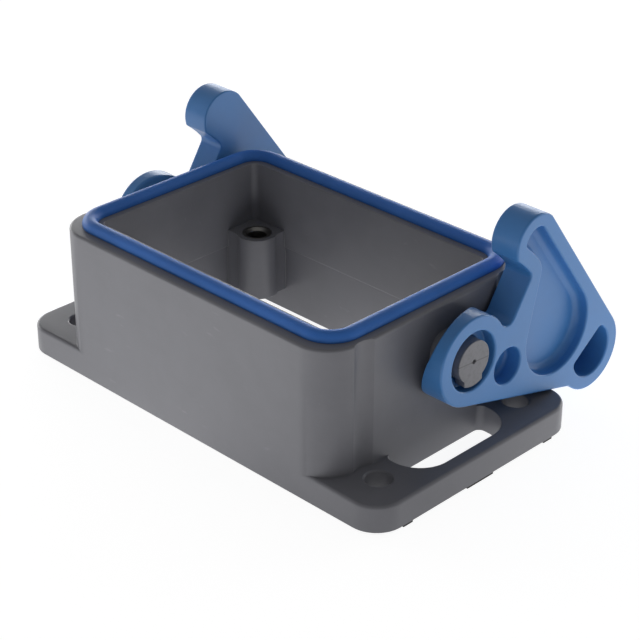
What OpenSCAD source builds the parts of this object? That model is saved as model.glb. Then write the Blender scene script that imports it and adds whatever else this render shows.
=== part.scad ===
// Bulkhead housing of a heavy duty rectangular connector, with its locking lever.
// X runs along the housing, Y towards the lever's handle, Z up out of the panel.
// The origin is the centre of the fixing holes, in the plane of the flange's underside.

/* [Flange] */
// Flange left between a fixing hole's middle and the flange's end
edge_x = 6.6; // [5.5:0.1:10]
// Flange left between a fixing hole's middle and the long side, with which the collar is flush
edge_y = 7.1; // [6.5:0.1:10]
// Thickness of the flange
flange_t = 4.6; // [3.5:0.1:6]
// Corner radius of the flange
flange_r = 5; // [4:0.1:6]
// Rounding of the flange's top edge
flange_edge = 0.6; // [0.3:0.05:1]

/* [Fixing holes] */
// Spacing of the fixing holes along X
fixing_dx = 70; // [68:0.5:72]
// Spacing of the fixing holes along Y
fixing_dy = 32; // [30:0.5:34]
// Diameter of a fixing hole
fixing_d = 4.3; // [4.3:0.1:5.3]
// Width of the chamfer round a fixing hole
fixing_chamfer = 0.2; // [0.1:0.05:0.5]
// Diameter left free round a fixing hole for a screw head and its driver
head_d = 8; // [7.6:0.1:8.4]

/* [Flange slots] */
// Flange left between a slot's end and a fixing hole's middle, along Y
slot_inset = 4.9; // [4.4:0.1:7]
// Web left between a slot and the flange's end
slot_web = 2.4; // [1.8:0.1:4]
// Radius of a slot's outer corners
slot_r = 5.6; // [2:0.1:5.8]
// Radius of its corners beside the collar
slot_inner_r = 1.2; // [0.5:0.1:1.8]

/* [Collar] */
// Height of the rim above the flange's underside
rim_z = 26.4; // [24:0.1:32]
// Length of the collar over its corners
collar_l = 62.8; // [62.4:0.1:63.2]
// Corner radius of the collar
collar_r = 6.2; // [5.2:0.1:7]
// How far the middle of an end wall stands proud
pad_h = 0.3; // [0.2:0.05:0.6]
// Width of that proud middle
pad_w = 29.4; // [28.6:0.1:30.4]
// Rounding of the rim's outer edge
rim_edge = 0.45; // [0.2:0.05:0.6]

/* [Cavity] */
// Length of the cavity at the rim
cavity_l = 52.8; // [52:0.1:53.6]
// Width of the cavity at the rim
cavity_w = 34.6; // [34:0.1:35.2]
// Radius of the cavity's corners
cavity_r = 1.2; // [0.6:0.1:2]
// Height at which the cavity steps out to the lower core's size
step_z = 12.4; // [9:0.1:14]
// How far it steps out on each side
step_d = 0.25; // [0.1:0.05:0.4]

/* [Contact insert bosses] */
// Spacing of the bosses along X
boss_dx = 44; // [43:0.5:45]
// Spacing of the bosses along Y
boss_dy = 27; // [26:0.5:28]
// Height of a boss's top above the flange's underside
boss_z = 15.6; // [14.6:0.1:18]
// Radius of a boss
boss_r = 3.5; // [3.2:0.1:3.7]
// Half the width of the webs that join a boss to the walls
boss_web = 2.9; // [2.2:0.1:3.1]
// Height of a boss's lower end above the panel
boss_foot = 4.2; // [3:0.1:5]
// Diameter of the hole in a boss, below its bush
boss_hole_d = 4.2; // [3.9:0.1:4.4]
// Depth of that hole
boss_hole_h = 9.6; // [8:0.1:10]

/* [Threaded bushes] */
// Outside diameter of a bush
bush_d = 5.2; // [5:0.1:5.6]
// Length of a bush
bush_h = 7; // [5:0.5:8]
// Tapping diameter of a bush
bush_hole_d = 3.3; // [3.2:0.1:3.5]
// Width of the chamfer at a bush's mouth
bush_chamfer = 0.5; // [0.2:0.1:0.7]
// Radial clearance of a bush in its boss
bush_gap = 0.02; // [0.01:0.01:0.04]

/* [Rim seal] */
// Width of the groove in the rim
groove_w = 2.2; // [1.8:0.1:2.6]
// Depth of the groove
groove_h = 1.5; // [1:0.1:3]
// Rim left inside the cavity's edge, to the middle of the groove, on the long sides
seal_in_y = 2.6; // [2.3:0.1:2.9]
// The same at the ends
seal_in_x = 2.4; // [2.2:0.1:2.6]
// Corner radius of the seal's centre line
seal_r = 4.4; // [3.4:0.1:5]
// Width of the seal's round head
seal_w = 2.6; // [2.3:0.1:2.8]
// How far the seal's crest stands above the rim
seal_h = 1.5; // [1.4:0.05:2]
// Side clearance of the seal's foot in its groove
seal_gap = 0.05; // [0.02:0.01:0.1]

/* [Panel gasket] */
// Thickness of the panel gasket
gasket_t = 0.9; // [0.7:0.1:1.5]
// How far it stands below the flange
gasket_proud = 0.3; // [0.1:0.05:0.5]
// Land of the flange left outside the gasket, and inside it round the cavity
gasket_land = 1; // [0.8:0.1:1.4]
// Land of the flange left round a fixing hole
hole_land = 0.4; // [0.2:0.1:1]
// Side clearance of the gasket in its recess
gasket_gap = 0.1; // [0.05:0.05:0.2]
// Width of the tab in the middle of each end
tab_w = 6; // [4:0.5:10]
// Width of the tabs beside the corners
corner_tab_w = 2; // [1.5:0.1:3]
// Distance of a corner tab from the part's middle
corner_tab_y = 16.4; // [15:0.1:16.5]

/* [Pivot] */
// Offset of the pivot towards the handle
pivot_y = 2; // [0:0.1:3]
// Height of the pivot above the flange's underside
pivot_z = 18.4; // [17.5:0.1:19]
// Diameter of a pivot stud
stud_d = 6.9; // [6:0.1:7.2]
// Width of the tab that keeps an arm on its stud
key_w = 4; // [3:0.1:4.6]
// Reach of the tab from the stud's axis
key_r = 4.2; // [4:0.05:4.3]
// Diameter of the small dimple in a stud's face
dimple_d = 0.8; // [0.5:0.1:1.2]
// Radial running clearance of an arm on its stud
pivot_gap = 0.05; // [0.03:0.01:0.08]

/* [Lever arm] */
// Gap between the proud middle of an end wall and an arm
arm_gap = 0.6; // [0.5:0.05:0.9]
// Gap along a stud between its arm's sunk floor and its tab
side_play = 0.3; // [0.2:0.05:0.4]
// Thickness of an arm
arm_t = 5.3; // [4.8:0.1:5.8]
// Direction up which the lead-in slopes on the inside of a hub, in degrees
lead_dir = 125; // [115:1:135]
// Slope of the lead-in, in degrees
lead_slope = 19.5; // [15:0.5:21]
// Distance of its lower end behind the pivot
lead_start = 1.2; // [0.4:0.1:1.6]
// Radius round the pivot within which an arm has the lead-in
lead_r = 8.4; // [7.8:0.1:9]
// Radius of an arm round its pivot
hub_r = 7.5; // [7.1:0.1:7.7]
// Slope of the lower edge, in degrees
lower_slope = -15.5; // [-17:0.1:-15.5]
// Slope of the normal to the straight back edge, in degrees
back_normal = 36.4; // [35:0.1:38]
// Middle of the handle end from the pivot, along Y
end_y = 29.8; // [29.4:0.1:33]
// Middle of the handle end from the pivot, along Z
end_z = -10; // [-10.4:0.1:-9.6]
// Radius of the handle end
end_r = 6.9; // [6.6:0.1:7.1]
// How far the crossbar stands in from the handle ends' outline
bar_inset = 0.3; // [0.1:0.05:0.6]
// Rounding of the crossbar's two long edges
bar_round = 2; // [1:0.1:2.4]
// Middle of the hook's head from the pivot, along Y
head_y = 14; // [13.8:0.1:14.2]
// Middle of the hook's head from the pivot, along Z
head_z = 15; // [14.8:0.1:15.4]
// Radius of the hook's head
head_r = 4.85; // [4.7:0.05:5.1]
// Radius about the pivot of the face that holds the hood's peg down
cam_r = 16.4; // [16:0.1:16.8]
// Slope of the edge that draws the peg in, in degrees
cam_slope = 57.5; // [56:0.5:59]
// Distance of that edge from the pivot
cam_off = 5.65; // [5.4:0.05:5.9]
// Fillet in the peg's recess
recess_fillet = 1.1; // [0.9:0.1:1.6]
// Fillet between the recess and the pivot's hub
notch_fillet = 1.7; // [1.2:0.1:2]
// Rounding of the hook's tip
tip_round = 0.8; // [0.5:0.1:0.9]
// Rounding where the head meets the back edge
crown_round = 0.6; // [0.4:0.1:0.8]
// Fillet where the lower edge meets the handle end
bump_fillet = 1; // [0.6:0.1:1.4]

/* [Lever pockets] */
// Wall left along the back edge and round the handle's core
wall = 2.4; // [2.2:0.05:2.6]
// Wall left inside the hook's head, and between the large pocket and the core
rib = 2.15; // [1.9:0.05:2.3]
// Wall left between the large pocket and the peg's recess
hook_wall = 2.6; // [2.2:0.05:2.8]
// Radius of the large pocket's round end
pocket_r = 7.65; // [7.4:0.05:7.8]
// Radius of the large pocket's top corner, beside the back edge
neck_r = 0.8; // [0.5:0.1:1.2]
// Radius of its corner over the hook's tip
toe_r = 0.6; // [0.4:0.1:0.8]
// Depth of the large pocket
pocket_h = 2.4; // [1.5:0.1:3]
// Middle of the small round pocket from the pivot, along Y
dish_y = 8.2; // [8.1:0.05:8.4]
// Middle of the small round pocket from the pivot, along Z
dish_z = -4.1; // [-4.3:0.05:-4]
// Radius of the small round pocket
dish_r = 3.1; // [2.8:0.1:3.1]
// Depth of the small round pocket
dish_h = 3; // [1.5:0.1:3.4]
// Radius round a stud within which an arm is counterbored
sink_r = 5; // [4.8:0.1:5.2]
// Depth of the counterbore
sink_h = 2.2; // [1.8:0.1:2.6]
// Height of the handle core's flat side above the middle of the handle end
core_flat = 1.85; // [1.6:0.05:2.1]
// Depth to which the handle is cored from each end
core_h = 14; // [8:1:24]
// Rounding of the core's two corners
core_round = 1; // [0.5:0.1:1.2]

/* [Hidden] */
$fn = 72;
arc_step = 6;       // degrees between points on the outlines' arcs
over = 1;           // how far a cutter reaches past what it cuts
body_grey = [0.36, 0.37, 0.38];
lever_blue = [0.30, 0.46, 0.66];
seal_blue = [0.18, 0.34, 0.62];
gasket_black = [0.10, 0.10, 0.11];
bush_steel = [0.55, 0.55, 0.55];

flange_l = fixing_dx + 2 * edge_x;
flange_w = fixing_dy + 2 * edge_y;            // also the width of the collar
slot_l = fixing_dy - 2 * slot_inset;
pad_x = collar_l / 2 + pad_h;                 // outer face of an end wall's middle
arm_x = pad_x + arm_gap;                      // inner face of an arm
stud_x = arm_x + arm_t;                       // end of a stud, flush with the arm's outer face
ledge_x = stud_x - sink_h;                    // floor of an arm's counterbore
slot_end_x = flange_l / 2 - slot_web;
seal_l = cavity_l + 2 * seal_in_x;            // size of the seal's centre line
seal_cw = cavity_w + 2 * seal_in_y;
seal_round = seal_w / 2;
recess_h = gasket_t - gasket_proud;
gasket_l = flange_l - 2 * gasket_land;
gasket_w = flange_w - 2 * gasket_land;
gasket_in_l = cavity_l + 2 * step_d + 2 * gasket_land;
gasket_in_w = cavity_w + 2 * step_d + 2 * gasket_land;

// Plane geometry of the lever arm, about the pivot: first number along Y, second along Z.
hub_c = [0, 0];
end_c = [end_y, end_z];
head_c = [head_y, head_z];
lower_normal = lower_slope - 90;
back_off = end_c * unit(back_normal) + end_r; // distance of the back edge from the pivot
cam_normal = cam_slope + 90;                  // points from the edge into the recess
flat_normal = back_normal + 90;
bump_c = on_line(lower_normal, hub_r + bump_fillet, end_c, end_r + bump_fillet, -1);
crown_c = on_line(back_normal, back_off - crown_round, head_c, head_r - crown_round, 1);
tip_c = on_circles(hub_c, cam_r + tip_round, head_c, head_r - tip_round);
recess_c = on_line(cam_normal, recess_fillet - cam_off, hub_c, cam_r - recess_fillet, -1);
notch_c = on_line(cam_normal, notch_fillet - cam_off, hub_c, hub_r + notch_fillet, -1);
pocket_c = (back_off - wall - pocket_r) * unit(back_normal)
         + (end_c * unit(flat_normal) + core_flat + rib + pocket_r) * unit(flat_normal);
bulge_r = recess_fillet + hook_wall;
inner_r = head_r - rib;                       // the pocket's round inside the hook's head
neck_c = on_line(back_normal, back_off - wall - neck_r, head_c, inner_r - neck_r, 1);
toe_c = on_circles(hub_c, cam_r + hook_wall + toe_r, head_c, inner_r - toe_r);

function unit(a) = [cos(a), sin(a)];
function angle_of(v) = atan2(v[1], v[0]);
// an angle brought to the first turn after the angle from
function after(a, from) = a + 360 * ceil((from - a) / 360);
// points on a circle from angle a to angle b
function arc(c, r, a, b) = let (n = max(2, ceil(abs(b - a) / arc_step)))
    [for (i = [0:n]) c + r * unit(a + (b - a) * i / n)];
// the point at distance r from c on the line at distance off from the pivot, whose normal is given
function on_line(normal, off, c, r, side) =
    let (n = unit(normal), t = unit(normal + 90), d = off - c * n)
    c + d * n + side * sqrt(r * r - d * d) * t;
// the point at distances r1 and r2 from c1 and c2, to the left of the way from c1 to c2
function on_circles(c1, r1, c2, r2) =
    let (d = norm(c2 - c1), u = (c2 - c1) / d, a = (r1 * r1 - r2 * r2 + d * d) / (2 * d))
    c1 + a * u + sqrt(r1 * r1 - a * a) * [-u[1], u[0]];
// direction of the line that crosses over from one circle to the other
function crossing(c1, r1, c2, r2, turn) =
    angle_of(c2 - c1) + turn * asin((r1 + r2) / norm(c2 - c1));

function arm_outline() = concat(
    arc(hub_c, hub_r, angle_of(notch_c), after(lower_normal, angle_of(notch_c))),
    arc(bump_c, bump_fillet, lower_normal + 180, angle_of(end_c - bump_c)),
    arc(end_c, end_r, angle_of(bump_c - end_c), after(back_normal, angle_of(bump_c - end_c))),
    arc(crown_c, crown_round, back_normal, angle_of(crown_c - head_c)),
    arc(head_c, head_r, angle_of(crown_c - head_c), after(angle_of(tip_c - head_c), 0)),
    arc(tip_c, tip_round, after(angle_of(tip_c - head_c), 0), angle_of(tip_c) + 180),
    arc(hub_c, cam_r, angle_of(tip_c), angle_of(recess_c)),
    arc(recess_c, recess_fillet, angle_of(recess_c), cam_normal - 180),
    arc(notch_c, notch_fillet, cam_normal - 180, angle_of(notch_c) - 180));

// a round that is cut flat at height flat above its middle, with its corners rounded
function flatted_outline(r, flat, corner) =
    let (h = flat - corner,
         s = sqrt(pow(r - corner, 2) - h * h),
         right = end_c + h * unit(flat_normal) + s * unit(back_normal),
         left = end_c + h * unit(flat_normal) - s * unit(back_normal),
         a_right = angle_of(right - end_c),
         a_left = after(angle_of(left - end_c), a_right))
    concat(arc(end_c, r, a_left, a_right + 360),
           arc(right, corner, a_right, after(flat_normal, a_right)),
           arc(left, corner, after(flat_normal, a_right), a_left));

function pocket_outline() =
    let (down = crossing(recess_c, bulge_r, pocket_c, pocket_r, -1),
         at_neck = angle_of(neck_c - head_c),
         at_toe = after(angle_of(toe_c - head_c), at_neck))
    concat(arc(pocket_c, pocket_r, down - 90, after(back_normal, down - 90)),
           arc(neck_c, neck_r, back_normal, at_neck),
           arc(head_c, inner_r, at_neck, at_toe),
           arc(toe_c, toe_r, at_toe, after(angle_of(toe_c) + 180, at_toe)),
           arc(hub_c, cam_r + hook_wall, angle_of(toe_c), angle_of(recess_c)),
           arc(recess_c, bulge_r, angle_of(recess_c), down + 90));

module rounded_rect(l, w, r) {
    square([l - 2 * r, w], center = true);
    square([l, w - 2 * r], center = true);
    for (x = [-1, 1], y = [-1, 1])
        translate([x * (l / 2 - r), y * (w / 2 - r)]) circle(r);
}

// carries a flat profile round a rounded rectangle: its x is outwards from the line, its y is up
module round_the_edge(l, w, r)
    for (q = [0:3]) {
        along = q % 2 == 0 ? [l, w] : [w, l];
        rotate([0, 0, 90 * q]) {
            translate([along[0] / 2, along[1] / 2 - r, 0])
                rotate([90, 0, 0]) linear_extrude(along[1] - 2 * r) children();
            translate([along[0] / 2 - r, along[1] / 2 - r, 0])
                rotate_extrude(angle = 90) translate([r, 0]) children();
        }
    }

// what is cut away to round an outer top edge
module edge_profile(r)
    difference() {
        translate([-r, -r]) square(r + over);
        translate([-r, -r]) circle(r);
    }

module at_fixings()
    for (x = [-1, 1], y = [-1, 1]) translate([x * fixing_dx / 2, y * fixing_dy / 2, 0]) children();

module both_ends() for (side = [0, 1]) mirror([side, 0, 0]) children();

module flange_plate()
    difference() {
        linear_extrude(flange_t) rounded_rect(flange_l, flange_w, flange_r);
        translate([0, 0, flange_t]) round_the_edge(flange_l, flange_w, flange_r)
            edge_profile(flange_edge);
    }

module collar()
    difference() {
        union() {
            difference() {
                linear_extrude(rim_z) rounded_rect(collar_l, flange_w, collar_r);
                translate([0, 0, rim_z]) round_the_edge(collar_l, flange_w, collar_r)
                    edge_profile(rim_edge);
            }
            end_pads();
        }
        translate([0, 0, flange_t]) at_fixings() cylinder(d = head_d, h = rim_z);
    }

module end_pads()
    difference() {
        translate([-pad_x, -pad_w / 2, 0]) cube([2 * pad_x, pad_w, rim_z]);
        both_ends() translate([pad_x, pad_w / 2 + over, rim_z])
            rotate([90, 0, 0]) linear_extrude(pad_w + 2 * over) edge_profile(rim_edge);
    }

// one end's slot: its inner edge lies in the plane of the end wall's middle
module slot() {
    half = slot_l / 2;
    outer = [slot_end_x - slot_r, half - slot_r];
    inner = [pad_x + slot_inner_r, half - slot_inner_r];
    translate([0, 0, -over]) linear_extrude(flange_t + 2 * over)
        polygon(concat(arc(outer, slot_r, 0, 90),
                       arc(inner, slot_inner_r, 90, 180),
                       arc([inner[0], -inner[1]], slot_inner_r, 180, 270),
                       arc([outer[0], -outer[1]], slot_r, 270, 360)));
}

module cavity() {
    translate([0, 0, step_z]) linear_extrude(rim_z) rounded_rect(cavity_l, cavity_w, cavity_r);
    translate([0, 0, -over]) linear_extrude(step_z + over)
        rounded_rect(cavity_l + 2 * step_d, cavity_w + 2 * step_d, cavity_r + step_d);
}

module at_bosses()
    for (x = [-1, 1], y = [-1, 1]) translate([x * boss_dx / 2, y * boss_dy / 2, 0]) children();

// a round boss, with webs as high as itself that join it to the cavity's corner
module corner_boss(x, y) {
    reach_x = (cavity_l - boss_dx) / 2 + step_d + over;
    reach_y = (cavity_w - boss_dy) / 2 + step_d + over;
    tall = boss_z - boss_foot;
    mirror([x, 0, 0]) mirror([0, y, 0]) translate([boss_dx / 2, boss_dy / 2, boss_foot]) {
        cylinder(r = boss_r, h = tall);
        translate([-boss_web, 0, 0]) cube([boss_web + reach_x, reach_y, tall]);
        translate([0, -boss_web, 0]) cube([reach_x, boss_web + reach_y, tall]);
    }
}

module boss_hole()
    translate([0, 0, boss_z]) {
        translate([0, 0, -boss_hole_h]) cylinder(d = boss_hole_d, h = boss_hole_h + over);
        translate([0, 0, -bush_h]) cylinder(r = bush_d / 2 + bush_gap, h = bush_h + over);
    }

module pivot_stud()
    translate([0, pivot_y, pivot_z]) rotate([0, 90, 0]) difference() {
        union() {
            translate([0, 0, pad_x - over]) cylinder(d = stud_d, h = stud_x - pad_x + over);
            translate([0, 0, ledge_x + side_play]) linear_extrude(stud_x - ledge_x - side_play)
                intersection() {
                    circle(key_r);
                    translate([0, -key_w / 2]) square([key_r, key_w]);
                }
        }
        translate([0, 0, stud_x]) sphere(d = dimple_d);
    }

// the panel gasket's outline: grown by gap it is the recess that takes the gasket
module gasket_shape(gap)
    difference() {
        rounded_rect(gasket_l + 2 * gap, gasket_w + 2 * gap, flange_r - gasket_land + gap);
        rounded_rect(gasket_in_l - 2 * gap, gasket_in_w - 2 * gap, cavity_r + gasket_land);
        both_ends() translate([pad_x - gasket_land + gap, gap - slot_l / 2 - gasket_land])
            square([slot_end_x - pad_x + 2 * gasket_land - 2 * gap,
                    slot_l + 2 * gasket_land - 2 * gap]);
        at_fixings() circle(fixing_d / 2 + hole_land - gap);
    }

// the thin tabs that reach out under the flange's ends
module gasket_tabs()
    both_ends() intersection() {
        rounded_rect(flange_l, flange_w, flange_r);
        translate([gasket_l / 2 - over / 2, 0]) {
            translate([0, -tab_w / 2]) square([over / 2 + gasket_land, tab_w]);
            for (y = [-1, 1]) translate([0, y * corner_tab_y - corner_tab_w / 2])
                square([over / 2 + gasket_land, corner_tab_w]);
        }
    }

module housing() color(body_grey)
    difference() {
        union() {
            difference() {
                union() {
                    flange_plate();
                    collar();
                }
                cavity();
            }
            for (x = [0, 1], y = [0, 1]) corner_boss(x, y);
            both_ends() pivot_stud();
        }
        at_bosses() boss_hole();
        both_ends() slot();
        at_fixings() {
            translate([0, 0, -over]) cylinder(d = fixing_d, h = flange_t + 2 * over);
            translate([0, 0, flange_t - fixing_chamfer])
                cylinder(r1 = fixing_d / 2, r2 = fixing_d / 2 + fixing_chamfer, h = fixing_chamfer);
        }
        translate([0, 0, rim_z - groove_h]) round_the_edge(seal_l, seal_cw, seal_r)
            translate([-groove_w / 2, 0]) square([groove_w, groove_h + over]);
        translate([0, 0, -over]) linear_extrude(recess_h + over) gasket_shape(gasket_gap);
    }

module thread_bushes() color(bush_steel)
    at_bosses() translate([0, 0, boss_z - bush_h]) difference() {
        cylinder(d = bush_d, h = bush_h);
        translate([0, 0, -over]) cylinder(d = bush_hole_d, h = bush_h + 2 * over);
        translate([0, 0, bush_h - bush_chamfer])
            cylinder(r1 = bush_hole_d / 2, r2 = bush_hole_d / 2 + bush_chamfer, h = bush_chamfer);
    }

module rim_seal() color(seal_blue)
    translate([0, 0, rim_z]) round_the_edge(seal_l, seal_cw, seal_r) {
        translate([seal_gap - groove_w / 2, -groove_h]) square([groove_w - 2 * seal_gap, groove_h]);
        translate([-seal_round, 0]) square([seal_w, seal_h - seal_round]);
        intersection() {
            translate([0, seal_h - seal_round]) circle(seal_round);
            translate([-seal_round, 0]) square([seal_w, seal_h]);
        }
    }

module panel_gasket() color(gasket_black)
    translate([0, 0, -gasket_proud]) {
        linear_extrude(gasket_t) gasket_shape(0);
        linear_extrude(gasket_proud) gasket_tabs();
    }

// stands an arm's plane drawing up, with its thickness outwards along X
module across_the_part(x) translate([x, 0, 0]) rotate([90, 0, 90]) children();

module arm_cuts() {
    across_the_part(arm_x - over) cylinder(r = stud_d / 2 + pivot_gap, h = arm_t + 2 * over);
    across_the_part(ledge_x) cylinder(r = sink_r, h = sink_h + over);
    across_the_part(stud_x - dish_h) translate([dish_y, dish_z, 0])
        cylinder(r = dish_r, h = dish_h + over);
    across_the_part(stud_x - pocket_h) linear_extrude(pocket_h + over) polygon(pocket_outline());
    across_the_part(stud_x - core_h) linear_extrude(core_h + over)
        polygon(flatted_outline(end_r - wall, core_flat, core_round));
}

// what slopes off the inside of a hub, so that the arm springs out over its stud
module lead_in() {
    rise = tan(lead_slope);
    across_the_part(arm_x) intersection() {
        translate([0, 0, -over]) cylinder(r = lead_r, h = arm_t + over);
        rotate([0, 0, lead_dir]) translate([0, lead_r + over, 0]) rotate([90, 0, 0])
            linear_extrude(2 * (lead_r + over))
                polygon([[-lead_start - over / rise, -over], [lead_r + over, -over],
                         [lead_r + over, (lead_start + lead_r + over) * rise]]);
    }
}

module lever() color(lever_blue)
    translate([0, pivot_y, pivot_z]) difference() {
        union() {
            both_ends() across_the_part(arm_x) linear_extrude(arm_t) polygon(arm_outline());
            across_the_part(-arm_x - over) linear_extrude(2 * (arm_x + over))
                polygon(flatted_outline(end_r - bar_inset, core_flat + wall, bar_round));
        }
        both_ends() arm_cuts();
        both_ends() lead_in();
    }

housing();
thread_bushes();
rim_seal();
panel_gasket();
lever();
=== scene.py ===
import bmesh
import bpy
import numpy as np
from mathutils import Matrix, Vector


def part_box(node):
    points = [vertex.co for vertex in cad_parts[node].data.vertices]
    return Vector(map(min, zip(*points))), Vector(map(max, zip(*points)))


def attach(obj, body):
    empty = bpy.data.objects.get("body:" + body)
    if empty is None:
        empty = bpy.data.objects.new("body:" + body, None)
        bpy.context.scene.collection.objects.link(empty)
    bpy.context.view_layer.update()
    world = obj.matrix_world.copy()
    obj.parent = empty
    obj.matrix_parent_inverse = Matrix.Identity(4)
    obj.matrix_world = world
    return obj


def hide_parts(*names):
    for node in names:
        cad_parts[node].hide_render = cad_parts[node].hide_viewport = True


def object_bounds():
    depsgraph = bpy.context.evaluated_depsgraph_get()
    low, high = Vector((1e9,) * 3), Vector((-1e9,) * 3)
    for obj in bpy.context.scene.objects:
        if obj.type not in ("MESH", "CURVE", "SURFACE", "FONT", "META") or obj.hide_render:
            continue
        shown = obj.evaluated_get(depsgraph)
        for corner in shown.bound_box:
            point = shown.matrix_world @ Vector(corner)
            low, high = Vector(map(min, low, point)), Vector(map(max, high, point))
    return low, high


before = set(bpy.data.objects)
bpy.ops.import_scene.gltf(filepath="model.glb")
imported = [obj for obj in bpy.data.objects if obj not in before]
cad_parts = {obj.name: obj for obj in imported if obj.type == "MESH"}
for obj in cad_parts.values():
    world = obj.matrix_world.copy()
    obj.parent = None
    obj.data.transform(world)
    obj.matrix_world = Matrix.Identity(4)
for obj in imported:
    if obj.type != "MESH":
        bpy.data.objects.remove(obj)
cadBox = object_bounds()
mm = 0.001

camera = {
    "azimuth": 44.71, "elevation": 28.61, "roll": 0.14,        # degrees
    "distance": 0.3166,        # metres from the origin, along the view
    "right": 0.0049,           # where the view's axis passes the origin: metres across
    "up": 0.0104,              # and metres up, both square to the view
    "lens": 106.6, "sensor": 36,               # focal length and width of the sensor, in mm
    "nearest": 0.01,
}


def placeCamera():
    a, e, r = np.radians([camera["azimuth"], camera["elevation"], camera["roll"]])
    back = Vector((np.sin(a) * np.cos(e), -np.cos(a) * np.cos(e), np.sin(e)))
    right = Vector((np.cos(a), np.sin(a), 0))
    up = back.cross(right)
    across = right * np.cos(r) + up * np.sin(r)
    upright = up * np.cos(r) - right * np.sin(r)
    data = bpy.data.cameras.new("camera")
    data.lens = camera["lens"]
    data.sensor_width = camera["sensor"]
    data.clip_start = camera["nearest"]
    obj = bpy.data.objects.new("camera", data)
    bpy.context.scene.collection.objects.link(obj)
    place = across * camera["right"] + upright * camera["up"] + back * camera["distance"]
    turn = Matrix((across, upright, back)).transposed().to_4x4()
    obj.matrix_world = Matrix.Translation(place) @ turn
    bpy.context.scene.camera = obj


placeCamera()
print("camera placed")


# value is a number, a colour or another node's output
def feed(tree, socket, value):
    if isinstance(value, bpy.types.NodeSocket):
        tree.links.new(value, socket)
    else:
        socket.default_value = value


# inputs are given by name, or as i0, i1 and so on by their number
def node(tree, kind, settings=None, **inputs):
    made = tree.nodes.new("ShaderNode" + kind)
    for key, value in (settings or {}).items():
        setattr(made, key, value)
    for key, value in inputs.items():
        byNumber = key[0] == "i" and key[1:].isdigit()
        feed(tree, made.inputs[int(key[1:]) if byNumber else key], value)
    return made


def math(tree, operation, a, b=0.0, clamp=False):
    return node(tree, "Math", {"operation": operation, "use_clamp": clamp}, i0=a, i1=b).outputs[0]


# value taken smoothly from low..high to toLow..toHigh
def fade(tree, value, low, high, toLow=0.0, toHigh=1.0):
    made = node(tree, "MapRange", {"interpolation_type": "SMOOTHSTEP"}, Value=value)
    limits = {"From Min": low, "From Max": high, "To Min": toLow, "To Max": toHigh}
    for name, number in limits.items():
        made.inputs[name].default_value = number
    return made.outputs[0]


def mixColour(tree, factor, a, b):
    return node(tree, "Mix", {"data_type": "RGBA"}, i0=factor, i6=a, i7=b).outputs[2]


def vectorMath(tree, operation, a, b=(0, 0, 0)):
    return node(tree, "VectorMath", {"operation": operation}, i0=a, i1=b).outputs


def noise(tree, place, scale=1.0, detail=3.0, roughness=0.5):
    made = node(tree, "TexNoise", Vector=place, Scale=scale, Detail=detail, Roughness=roughness)
    return made.outputs[0]


# place stretched by a scale for each axis, after a turn
def stretched(tree, place, scale, turn=(0.0, 0.0, 0.0)):
    return node(tree, "Mapping", Vector=place, Rotation=turn, Scale=scale).outputs[0]


def newGroup(name, inputs, outputs):
    tree = bpy.data.node_groups.new(name, "ShaderNodeTree")
    for label, kind in inputs:
        tree.interface.new_socket(label, in_out="INPUT", socket_type="NodeSocket" + kind)
    for label, kind in outputs:
        tree.interface.new_socket(label, in_out="OUTPUT", socket_type="NodeSocket" + kind)
    return tree, tree.nodes.new("NodeGroupInput").outputs, tree.nodes.new("NodeGroupOutput").inputs


edge = {
    "samples": 8,
    "bend": (0.01, 0.18),      # 1 - cosine between the rounded and the flat normal, faint to full
    "around": 1.2 * mm,        # how far away a neighbouring surface makes the painted shade in a corner
    "open": (0.55, 0.9),       # openness over which a bent place counts as a convex edge
    "closed": (0.75, 0.35),    # openness over which a place grows darker with painted shade
}


# Convex edges, lightened partly as wear and partly as a painted highlight; inner corners and
# creases, darkened with painted shade; Soft: a normal that rounds each edge.
def edgeMasks():
    tree, given, out = newGroup(
        "edgeMasks", [("Radius", "Float")],
        [("WornAndHighlight", "Float"), ("PaintedShade", "Float"), ("Soft", "Vector")])
    soft = node(tree, "Bevel", {"samples": edge["samples"]}, Radius=given["Radius"]).outputs[0]
    flat = node(tree, "NewGeometry").outputs["Normal"]
    along = vectorMath(tree, "DOT_PRODUCT", soft, flat)["Value"]
    bent = fade(tree, math(tree, "SUBTRACT", 1.0, along), *edge["bend"])
    openness = node(tree, "AmbientOcclusion", {"samples": edge["samples"]},
                    Distance=edge["around"]).outputs["AO"]
    # convex edges: lightened in the colour, partly as wear and partly as a painted highlight
    tree.links.new(math(tree, "MULTIPLY", bent, fade(tree, openness, *edge["open"])), out["WornAndHighlight"])
    # inner corners and creases: darkened in the colour as painted shade
    tree.links.new(fade(tree, openness, *edge["closed"]), out["PaintedShade"])
    tree.links.new(soft, out["Soft"])
    return tree


skin = {
    "cloud": 90.0,                       # slow drift of colour and height: patches in a metre
    "cloudHeight": 0.6,                  # its share in the height
    "drift": (0.3, 0.7),                 # the noise over which it goes from one end to the other
    "streak": (60.0, 60.0, 900.0),       # flow streaks, drawn out level
    "rub": (300.0, 4200.0, 900.0),       # fine rub marks, drawn out along a slant
    "rubTurn": (0.5, 0.9, 0.4),
    "rubShows": (0.66, 0.78),            # the noise over which a rub mark begins to show
    "patch": 140.0,                      # places where rub marks gather
    "patchShows": (0.5, 0.72),
    "wornGloss": 0.08,                   # how much smoother a worn edge is
}


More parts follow.
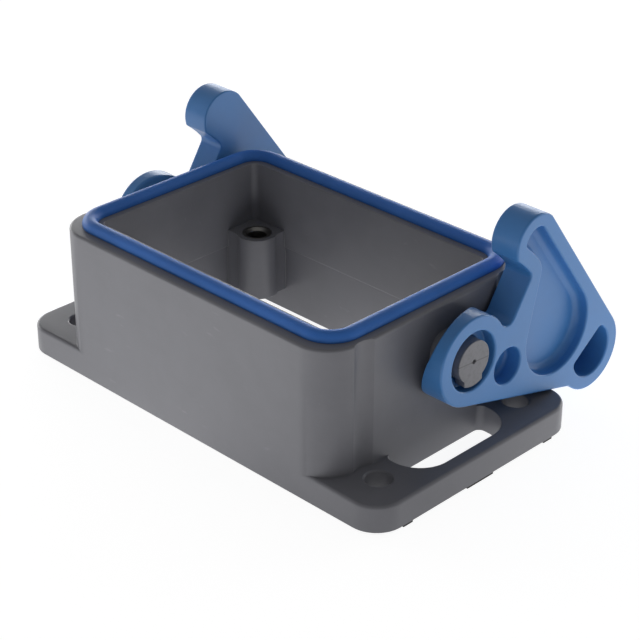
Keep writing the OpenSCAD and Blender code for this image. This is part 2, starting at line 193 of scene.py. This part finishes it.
# skin of a moulded plastic: spark-eroded grain, slow sink marks, faint flow streaks and rub marks
def mouldSkin():
    tree, given, out = newGroup(
        "mouldSkin",
        [("Vector", "Vector"), ("Grain", "Float")],
        [("Cloud", "Float"), ("Streak", "Float"), ("Rub", "Float"), ("Height", "Float")])
    place = given["Vector"]
    grain = noise(tree, place, given["Grain"], roughness=0.6)
    cloud = noise(tree, place, skin["cloud"], detail=4.0, roughness=0.55)
    streak = noise(tree, stretched(tree, place, skin["streak"]))
    slanted = stretched(tree, place, skin["rub"], skin["rubTurn"])
    rub = noise(tree, slanted, detail=2.0, roughness=0.4)
    patch = noise(tree, place, skin["patch"], detail=1.0)
    rubbed = math(tree, "MULTIPLY", fade(tree, rub, *skin["rubShows"]),
                  fade(tree, patch, *skin["patchShows"]))
    tree.links.new(cloud, out["Cloud"])
    tree.links.new(streak, out["Streak"])
    tree.links.new(rubbed, out["Rub"])
    height = math(tree, "ADD", grain, math(tree, "MULTIPLY", cloud, skin["cloudHeight"]))
    tree.links.new(height, out["Height"])
    return tree


stud = {
    "y": 2.0 * mm, "z": 18.4 * mm,
    "from": 37.2 * mm,         # distance from the middle at which a stud's end begins
    "blend": 0.1 * mm,         # and over which it becomes full
    "reach": 4.6 * mm,         # radius round the stud's axis
    "lineHalf": 0.07 * mm, "slant": 0.08, "wander": 0.25 * mm, "lineShows": 0.6,
    "markLong": 0.9 * mm, "markWide": 0.22 * mm, "markEdge": (0.4, 1.0),
    "lineDark": 0.85, "lineDeep": 2.0,         # how dark the line and the mark are, and how deep
    "coarse": 1400.0, "rough": 1.5,            # coarse grain of the ends, and its height
    "mottle": (0.45, 0.75, 0.0, 0.3),          # the grain over which it darkens, from none to most
}


# End: the flat ends of the two studs. Line: the mould's parting line across each, with the mark
# left where the runner was broken off, an ellipse on that line.
def studEnd():
    tree, given, out = newGroup(
        "studEnd", [("Vector", "Vector"), ("Cloud", "Float")],
        [("End", "Float"), ("Line", "Float")])
    place = node(tree, "SeparateXYZ", Vector=given["Vector"])
    outward = math(tree, "ABSOLUTE", place.outputs["X"])
    end = fade(tree, outward, stud["from"], stud["from"] + stud["blend"])
    y = math(tree, "SUBTRACT", place.outputs["Y"], stud["y"])
    z = math(tree, "SUBTRACT", place.outputs["Z"], stud["z"])
    away = math(tree, "ADD", math(tree, "MULTIPLY", y, y), math(tree, "MULTIPLY", z, z))
    end = math(tree, "MULTIPLY", end, math(tree, "LESS_THAN", away, stud["reach"] ** 2))
    wander = math(tree, "MULTIPLY", math(tree, "SUBTRACT", given["Cloud"], 0.5), stud["wander"])
    slanted = math(tree, "ADD", z, math(tree, "MULTIPLY", y, stud["slant"]))
    off = math(tree, "ABSOLUTE", math(tree, "ADD", slanted, wander))
    line = fade(tree, off, stud["lineHalf"], 2 * stud["lineHalf"], stud["lineShows"], 0.0)
    along = math(tree, "POWER", math(tree, "DIVIDE", y, stud["markLong"]), 2.0)
    across = math(tree, "POWER", math(tree, "DIVIDE", off, stud["markWide"]), 2.0)
    mark = fade(tree, math(tree, "ADD", along, across), *stud["markEdge"], 1.0, 0.0)
    tree.links.new(end, out["End"])
    tree.links.new(math(tree, "MULTIPLY", end, math(tree, "MAXIMUM", line, mark)), out["Line"])
    return tree


groups = {"edges": edgeMasks(), "skin": mouldSkin(), "studEnd": studEnd()}


def useGroup(tree, name, **inputs):
    made = tree.nodes.new("ShaderNodeGroup")
    made.node_tree = groups[name]
    for key, value in inputs.items():
        feed(tree, made.inputs[key], value)
    return made.outputs


def newMaterial(name):
    material = bpy.data.materials.new(name)
    material.use_nodes = True
    return material, material.node_tree, material.node_tree.nodes["Principled BSDF"].inputs


# a moulded piece: its colour drifts, its edges are lightened partly as wear and partly as a painted
# highlight, and painted shade darkens its corners
def moulded(name, look):
    material, tree, shader = newMaterial(name)
    place = node(tree, "TexCoord").outputs["Object"]
    marks = useGroup(tree, "skin", Vector=place, Grain=look["grain"])
    edges = useGroup(tree, "edges", Radius=look["edge"])
    drift = fade(tree, marks["Cloud"], *skin["drift"])
    colour = mixColour(tree, drift, look["dark"], look["light"])
    # streaks and rub marks are the finish's own; edges are lightened partly as wear and partly as a
    # painted highlight, and corners are darkened with painted shade
    layers = ((marks["Streak"], "streak", "light"), (marks["Rub"], "rub", "wornAndHighlight"),
              (edges["WornAndHighlight"], "wearAndHighlight", "wornAndHighlight"), (edges["PaintedShade"], "paintedShade", "paintedShadeAndMarks"))
    for mask, amount, tone in layers:
        colour = mixColour(tree, math(tree, "MULTIPLY", mask, look[amount]), colour, look[tone])
    height = marks["Height"]
    if look.get("studs"):
        ends = useGroup(tree, "studEnd", Vector=place, Cloud=marks["Cloud"])
        coarse = noise(tree, place, stud["coarse"], detail=4.0, roughness=0.65)
        mottled = math(tree, "MULTIPLY", ends["End"], fade(tree, coarse, *stud["mottle"]))
        lined = math(tree, "MULTIPLY", ends["Line"], stud["lineDark"])
        colour = mixColour(tree, mottled, colour, look["paintedShadeAndMarks"])
        colour = mixColour(tree, lined, colour, look["paintedShadeAndMarks"])
        torn = math(tree, "MULTIPLY", ends["End"], math(tree, "MULTIPLY", coarse, stud["rough"]))
        sunk = math(tree, "MULTIPLY", ends["Line"], stud["lineDeep"])
        height = math(tree, "SUBTRACT", math(tree, "ADD", height, torn), sunk)
    rough = math(tree, "ADD", fade(tree, marks["Cloud"], *skin["drift"], *look["roughness"]),
                 math(tree, "MULTIPLY", edges["WornAndHighlight"], -skin["wornGloss"]), clamp=True)
    bump = node(tree, "Bump", Strength=look["bump"], Distance=look["depth"],
                Height=height, Normal=edges["Soft"]).outputs[0]
    tree.links.new(colour, shader["Base Color"])
    tree.links.new(rough, shader["Roughness"])
    tree.links.new(bump, shader["Normal"])
    shader["IOR"].default_value = look["ior"]
    shader["Specular IOR Level"].default_value = look["specular"]
    return material


# dark to light is a finish's slow drift; the lighter edge tone colours rub marks and also lightens
# edges, partly as wear and partly as a painted highlight; the darkest tone is painted shade in
# corners and also the colour of the marks on the studs' ends; the four amounts give how much of
# streaks, rubs, edges and corner shade shows
greyPlastic = moulded("greyPlastic", {
    "dark": (0.148, 0.149, 0.168, 1), "light": (0.176, 0.177, 0.197, 1),
    "wornAndHighlight": (0.32, 0.32, 0.34, 1), "paintedShadeAndMarks": (0.05, 0.05, 0.057, 1),
    "streak": 0.35, "rub": 0.3, "wearAndHighlight": 0.45, "paintedShade": 0.4,
    "roughness": (0.36, 0.47), "grain": 4200.0, "bump": 0.25, "depth": 0.04 * mm,
    "edge": 0.22 * mm, "ior": 1.5, "specular": 0.5, "studs": True,
})
bluePlastic = moulded("bluePlastic", {
    "dark": (0.046, 0.188, 0.470, 1), "light": (0.059, 0.217, 0.530, 1),
    "wornAndHighlight": (0.16, 0.36, 0.66, 1), "paintedShadeAndMarks": (0.01, 0.05, 0.20, 1),
    "streak": 0.3, "rub": 0.2, "wearAndHighlight": 0.35, "paintedShade": 0.45,
    "roughness": (0.30, 0.42), "grain": 3600.0, "bump": 0.2, "depth": 0.04 * mm,
    "edge": 0.12 * mm, "ior": 1.5, "specular": 0.5,
})
blueRubber = moulded("blueRubber", {
    "dark": (0.033, 0.158, 0.530, 1), "light": (0.046, 0.188, 0.610, 1),
    "wornAndHighlight": (0.10, 0.25, 0.62, 1), "paintedShadeAndMarks": (0.005, 0.025, 0.11, 1),
    "streak": 0.2, "rub": 0.15, "wearAndHighlight": 0.1, "paintedShade": 0.6,
    "roughness": (0.46, 0.58), "grain": 5200.0, "bump": 0.2, "depth": 0.03 * mm,
    "edge": 0.1 * mm, "ior": 1.5, "specular": 0.3,
})
blackRubber = moulded("blackRubber", {
    "dark": (0.022, 0.022, 0.024, 1), "light": (0.034, 0.034, 0.036, 1),
    "wornAndHighlight": (0.07, 0.07, 0.072, 1), "paintedShadeAndMarks": (0.008, 0.008, 0.009, 1),
    "streak": 0.2, "rub": 0.3, "wearAndHighlight": 0.3, "paintedShade": 0.4,
    "roughness": (0.6, 0.75), "grain": 5200.0, "bump": 0.35, "depth": 0.04 * mm,
    "edge": 0.1 * mm, "ior": 1.5, "specular": 0.4,
})

steel = {
    "rings": (300.0, 300.0, 9000.0),     # turning marks round an upright bush: fine along z
    "cloud": 900.0,
    "dark": (0.22, 0.215, 0.20, 1), "light": (0.34, 0.335, 0.32, 1), "wornAndHighlight": (0.5, 0.49, 0.47, 1),
    "wearAndHighlight": 0.5, "edge": 0.1 * mm, "roughness": (0.32, 0.5), "bump": 0.3, "depth": 0.02 * mm,
}


def turnedSteel():
    material, tree, shader = newMaterial("turnedSteel")
    place = node(tree, "TexCoord").outputs["Object"]
    rings = noise(tree, stretched(tree, place, steel["rings"]))
    cloud = noise(tree, place, steel["cloud"])
    edges = useGroup(tree, "edges", Radius=steel["edge"])
    colour = mixColour(tree, cloud, steel["dark"], steel["light"])
    # convex edges lightened, partly as wear and partly as a painted highlight
    wornAndHighlight = math(tree, "MULTIPLY", edges["WornAndHighlight"], steel["wearAndHighlight"])
    colour = mixColour(tree, wornAndHighlight, colour, steel["wornAndHighlight"])
    bump = node(tree, "Bump", Strength=steel["bump"], Distance=steel["depth"],
                Height=rings, Normal=edges["Soft"]).outputs[0]
    tree.links.new(colour, shader["Base Color"])
    tree.links.new(fade(tree, rings, *skin["drift"], *steel["roughness"]), shader["Roughness"])
    tree.links.new(bump, shader["Normal"])
    shader["Metallic"].default_value = 1.0
    return material


bushSteel = turnedSteel()
print("materials made")


def addPiece(name, mesh, material, body, nodeName):
    mesh.materials.clear()
    mesh.materials.append(material)
    obj = bpy.data.objects.new(name, mesh)
    bpy.context.scene.collection.objects.link(obj)
    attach(obj, body)
    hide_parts(nodeName)
    print(name, "added")
    return obj


def smooth(mesh, sharpFrom):
    mesh.polygons.foreach_set("use_smooth", np.ones(len(mesh.polygons), bool))
    mesh.set_sharp_from_angle(angle=np.radians(sharpFrom))


joining = {
    "near": 0.001 * mm,        # points closer than this are one
    "flat": 0.2,               # degrees within which neighbouring faces are merged
}


# The node's surface with its loose triangles joined, flat areas merged and smooth shading set. A
# flat area with an opening in it is merged in two halves, parted at the opening's y, given in cuts.
def joinedCopy(nodeName, name, sharpFrom=30, cuts=()):
    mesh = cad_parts[nodeName].data.copy()
    mesh.name = name
    work = bmesh.new()
    work.from_mesh(mesh)
    bmesh.ops.remove_doubles(work, verts=work.verts, dist=joining["near"])
    for y in cuts:
        cut = bmesh.ops.bisect_plane(work, geom=[*work.verts, *work.edges, *work.faces],
                                     dist=joining["near"], plane_co=(0, y, 0), plane_no=(0, 1, 0))
        for part in cut["geom_cut"]:
            if isinstance(part, bmesh.types.BMEdge):
                part.seam = True
    bmesh.ops.dissolve_limit(work, angle_limit=np.radians(joining["flat"]), verts=work.verts,
                             edges=work.edges, delimit={"SEAM"})
    work.to_mesh(mesh)
    work.free()
    for layer in list(mesh.attributes):
        if layer.name.startswith(("sharp_", "custom_normal")):
            mesh.attributes.remove(layer)
    smooth(mesh, sharpFrom)
    return mesh


# Rounds the edges sharper than an angle: each gets width times its weight, which weightOf works out
# for all at once from the edges' two ends and whether each edge is an inner corner.
def roundEdges(obj, width, sharpFrom, segments, weightOf):
    mesh = obj.data
    work = bmesh.new()
    work.from_mesh(mesh)
    least = np.radians(sharpFrom)
    sharp = np.array([len(e.link_faces) == 2 and e.calc_face_angle() > least for e in work.edges])
    inner = np.array([not e.is_convex for e in work.edges])
    work.free()
    ends = np.empty(len(mesh.edges) * 2, int)
    mesh.edges.foreach_get("vertices", ends)
    points = np.empty(len(mesh.vertices) * 3)
    mesh.vertices.foreach_get("co", points)
    pairs = points.reshape(-1, 3)[ends.reshape(-1, 2)]
    weight = np.where(sharp, weightOf(pairs, inner), 0.0)
    layer = mesh.attributes.new("bevel_weight_edge", "FLOAT", "EDGE")
    layer.data.foreach_set("value", weight.astype(np.float32))
    bevel = obj.modifiers.new("rounding", "BEVEL")
    bevel.limit_method = "WEIGHT"
    bevel.width = width
    bevel.segments = segments
    bevel.use_clamp_overlap = False
    bevel.miter_outer = "MITER_ARC"
    bevel.loop_slide = False
    even = obj.modifiers.new("evenShading", "WEIGHTED_NORMAL")
    even.weight = 100
    even.keep_sharp = True


def addHousing():
    mesh = joinedCopy("housing", "panelHousing")
    addPiece("panelHousing", mesh, greyPlastic, "base", "housing")


def addBushes():
    mesh = joinedCopy("thread_bushes", "threadBushes")
    addPiece("threadBushes", mesh, bushSteel, "base", "thread_bushes")


def addGasket():
    mesh = joinedCopy("panel_gasket", "panelGasket")
    addPiece("panelGasket", mesh, blackRubber, "base", "panel_gasket")


lever = {
    "rounding": 1.1 * mm,      # floor fillet of the large pocket
    "edge": 0.27,              # share of it on the outer edges
    "smallFloor": 0.55,        # share of it on the floors of the small pockets
    "innerEdge": 0.18,         # share of it on the edges of an arm's inner face
    "segments": 4,
    "pocketDepth": 2.4 * mm, "dishDepth": 3.0 * mm, "thick": 5.3 * mm,         # from an outer face
    "openings": (2.0 * mm, 10.2 * mm, 15.6 * mm, 20.5 * mm, 33.0 * mm),        # y of each opening
    "level": 0.02 * mm,        # how closely an edge lies at one of these depths
    "between": 0.05 * mm,      # how far inside of dishDepth and thick the lead-in's edges reach
    "shadeFrom": 15, "roundFrom": 30,          # degrees
}


def addLever():
    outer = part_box("lever")[1].x

    def weightOf(pairs, inner):
        depth = outer - np.abs(pairs[:, :, 0])
        atLevel = lambda d: (np.abs(depth - d) < lever["level"]).all(1)
        weight = np.full(len(pairs), lever["edge"])
        weight[atLevel(lever["dishDepth"]) & inner] = lever["smallFloor"]
        weight[atLevel(lever["pocketDepth"]) & inner] = 1.0
        weight[atLevel(lever["thick"])] = lever["innerEdge"]
        weight[atLevel(lever["thick"]) & inner] = 0.0
        below = depth > lever["dishDepth"] + lever["between"]
        above = depth < lever["thick"] - lever["between"]
        weight[(below & above).any(1)] = 0.0           # the lead-in meets the hub at a low angle
        return weight

    mesh = joinedCopy("lever", "bailLever", lever["shadeFrom"], lever["openings"])
    obj = addPiece("bailLever", mesh, bluePlastic, "bail", "lever")
    roundEdges(obj, lever["rounding"], lever["roundFrom"], lever["segments"], weightOf)


seal = {
    "head": 1.3 * mm,          # radius of the round head
    "foot": 1.05 * mm,         # half the width of the foot
    "shoulder": 0.2 * mm,      # how far the head goes straight down before it steps in to the foot
    "corner": 4.4 * mm,        # radius of the centre line's corners
    "cornerPoints": 25, "sideSteps": 8, "headPoints": 33,
    "shadeFrom": 50,           # degrees
}


# The seal's section, carried round its centre line: p = c(s) + n(s) u(t), z = h(t), where n is the
# centre line's outward normal and (u, h) runs up the foot, round the head and back.
def addSeal():
    low, high = (np.array(v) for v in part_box("rim_seal"))
    turn = np.radians(np.linspace(0, 90, seal["cornerPoints"]))
    quarter = np.arange(4)[:, None] * np.pi / 2
    angle = (quarter + turn).ravel()
    signs = np.array([[1, 1], [-1, 1], [-1, -1], [1, -1]])
    cornerAt = high[:2] - seal["head"] - seal["corner"]
    normal = np.stack([np.cos(angle), np.sin(angle)], 1)
    line = np.repeat(signs * cornerAt, len(turn), axis=0) + seal["corner"] * normal
    last = np.arange(len(line)) % len(turn) == len(turn) - 1       # a straight side starts here
    steps = np.where(last, seal["sideSteps"], 1)
    start = np.repeat(np.arange(len(line)), steps)
    follows = (start + 1) % len(line)
    t = np.concatenate([np.arange(n) / n for n in steps])[:, None]
    line = line[start] * (1 - t) + line[follows] * t
    normal = normal[start] * (1 - t) + normal[follows] * t
    crown = np.radians(np.linspace(0, 180, seal["headPoints"]))
    middle = high[2] - seal["head"]
    dome = np.stack([np.cos(crown), np.sin(crown)], 1) * seal["head"] + [0, middle]
    step = middle - seal["shoulder"]
    foot = np.array([[-seal["head"], step], [-seal["foot"], step], [-seal["foot"], low[2]],
                     [seal["foot"], low[2]], [seal["foot"], step], [seal["head"], step]])
    section = np.concatenate([dome, foot])
    flat = line[:, None] + normal[:, None] * section[None, :, :1]
    height = np.broadcast_to(section[None, :, 1:], flat.shape[:2] + (1,))
    points = np.concatenate([flat, height], 2)
    n, m = points.shape[:2]
    i, j = np.meshgrid(np.arange(n), np.arange(m), indexing="ij")
    nextI, nextJ = (i + 1) % n, (j + 1) % m
    quads = np.stack([i * m + j, nextI * m + j, nextI * m + nextJ, i * m + nextJ], 2)
    mesh = bpy.data.meshes.new("rimSeal")
    mesh.from_pydata(points.reshape(-1, 3), [], quads.reshape(-1, 4))
    smooth(mesh, seal["shadeFrom"])
    addPiece("rimSeal", mesh, blueRubber, "base", "rim_seal")


addHousing()
addBushes()
addGasket()
addLever()
addSeal()

studio = {
    "floorRadius": 3.0, "floorSides": 64, "floorWhite": 0.30, "floorRough": 0.9,
    "clear": 0.02 * mm,        # gap between the part and the table
    "shownGlow": 0.90,         # the table's glow as it is seen
    "glow": (0.74, 1.42),      # its least and greatest glow on the part, by the side it lies on
    "glowToward": 70,          # degrees from +X toward +Y: brightest on this side and opposite
    "cloth": 4.7,              # brightness of the lit cloth, low down
    "toward": 135,             # degrees from +X toward +Y: the middle of the lit side
    "side": (0.10, 0.70),      # cosine of the angle to that middle over which the lit side begins
    "band": (0.15, 0.46),      # sine of the height over which the lit cloth ends
    "overhead": 0.26,          # brightness of the cloth elsewhere
}


# cosine of the level angle between a direction and the one that lies these degrees from +X
def facing(tree, direction, degrees):
    level = vectorMath(tree, "MULTIPLY", direction, (1, 1, 0))[0]
    level = vectorMath(tree, "NORMALIZE", level)[0]
    turn = np.radians(degrees)
    toward = (np.cos(turn), np.sin(turn), 0)
    return vectorMath(tree, "DOT_PRODUCT", level, toward)["Value"]


# a white table lit from below, so that the object's shadow on it stays faint
def addFloor():
    mesh = bpy.data.meshes.new("floor")
    work = bmesh.new()
    bmesh.ops.create_circle(work, cap_ends=True, segments=studio["floorSides"],
                            radius=studio["floorRadius"])
    work.to_mesh(mesh)
    work.free()
    obj = bpy.data.objects.new("floor", mesh)
    obj.location.z = cadBox[0][2] - studio["clear"]
    bpy.context.scene.collection.objects.link(obj)
    material, tree, shader = newMaterial("floorWhite")
    white = studio["floorWhite"]
    shader["Base Color"].default_value = (white, white, white, 1)
    shader["Roughness"].default_value = studio["floorRough"]
    shader["Specular IOR Level"].default_value = 0.0
    shader["Emission Color"].default_value = (1, 1, 1, 1)
    side = facing(tree, node(tree, "TexCoord").outputs["Object"], studio["glowToward"])
    least, greatest = studio["glow"]
    added = math(tree, "MULTIPLY", math(tree, "MULTIPLY", side, side), greatest - least)
    glow = math(tree, "ADD", least, added)
    seen = node(tree, "LightPath").outputs["Is Camera Ray"]
    glow = node(tree, "Mix", i0=seen, i2=glow, i3=studio["shownGlow"]).outputs[0]
    tree.links.new(glow, shader["Emission Strength"])
    mesh.materials.append(material)


# a tent of white cloth, lit low down at the left and the back, and dim elsewhere; seen plain white
def setWorld():
    world = bpy.data.worlds.new("tent")
    bpy.context.scene.world = world
    world.use_nodes = True
    tree = world.node_tree
    tree.nodes.clear()
    direction = node(tree, "TexCoord").outputs["Generated"]
    height = node(tree, "SeparateXYZ", Vector=direction).outputs["Z"]
    side = facing(tree, direction, studio["toward"])
    lit = fade(tree, side, *studio["side"], 0.0, studio["cloth"])
    lit = math(tree, "MULTIPLY", lit, fade(tree, height, *studio["band"], 1.0, 0.0))
    white = (1, 1, 1, 1)
    strength = math(tree, "ADD", lit, studio["overhead"])
    tent = node(tree, "Background", Color=white, Strength=strength).outputs[0]
    plain = node(tree, "Background", Color=white, Strength=1.0).outputs[0]
    seen = node(tree, "LightPath").outputs["Is Camera Ray"]
    mixed = node(tree, "MixShader", i0=seen, i1=tent, i2=plain).outputs[0]
    out = tree.nodes.new("ShaderNodeOutputWorld")
    tree.links.new(mixed, out.inputs["Surface"])


addFloor()
setWorld()
bpy.context.scene.view_settings.view_transform = "Standard"
print("studio lit")
